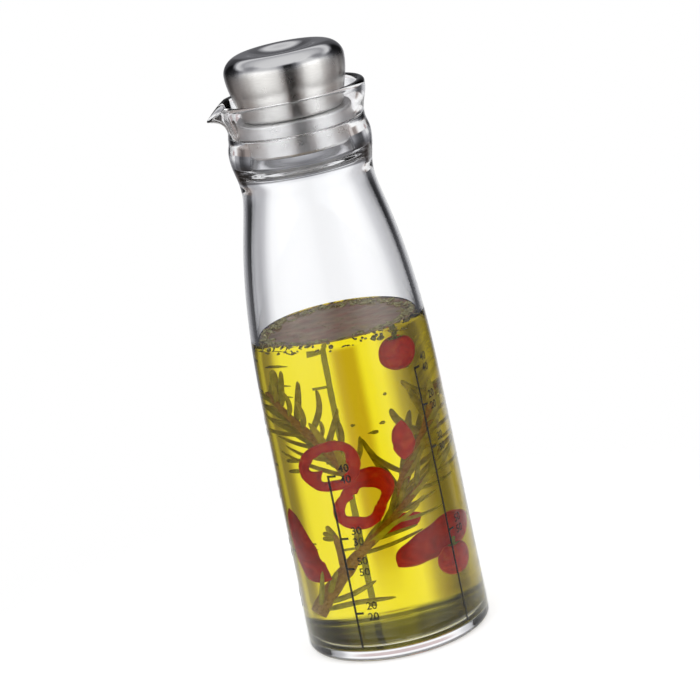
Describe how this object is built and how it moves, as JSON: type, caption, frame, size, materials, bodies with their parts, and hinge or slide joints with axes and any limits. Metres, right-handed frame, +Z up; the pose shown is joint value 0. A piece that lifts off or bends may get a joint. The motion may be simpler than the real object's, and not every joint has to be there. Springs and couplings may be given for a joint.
{
  "type": "salad dressing shaker bottle",
  "caption": "Tall glass shaker bottle with a wavy neck, a pulled pouring lip and a steel-capped stopper, holding oil with rosemary and chilli.",
  "frame": {"origin": "middle of the foot, on the surface that the bottle stands on", "axes": "+Z up the bottle's axis to the stopper; the pouring lip points to -X; the front scale faces -Y"},
  "size_m": [0.0672, 0.0672, 0.2188],
  "materials": {
    "glass": "clear polished",
    "steel": "brushed round the axis",
    "core_plastic": "moulded, satin",
    "seal": "translucent frosted silicone",
    "oil": "clear yellow liquid",
    "rosemary": "leafy, satin",
    "chilli": "waxy skin",
    "stalk": "leafy, satin"
  },
  "bodies": {
    "bottle": {"glass_bottle": "glass", "dressing": "oil", "rosemary_low": "rosemary", "rosemary_left": "rosemary", "rosemary_right": "rosemary", "chilli_ring_upper": "chilli", "chilli_ring_lower": "chilli", "chilli_pod_left": "chilli", "chilli_pod_right": "chilli", "chilli_tip": "chilli", "chilli_slice_back": "chilli", "round_chilli_high": "chilli", "round_chilli_low": "chilli", "round_chilli_high_stalk": "stalk", "round_chilli_low_stalk": "stalk"},
    "stopper": {"stopper_cap": "steel", "stopper_core": "core_plastic", "stopper_seal": "seal"}
  },
  "joints": [
    {"name": "stopper_lift", "type": "slide", "parent": "bottle", "child": "stopper", "axis": [0, 0, 1], "range_m": [0, 0.07]}
  ]
}
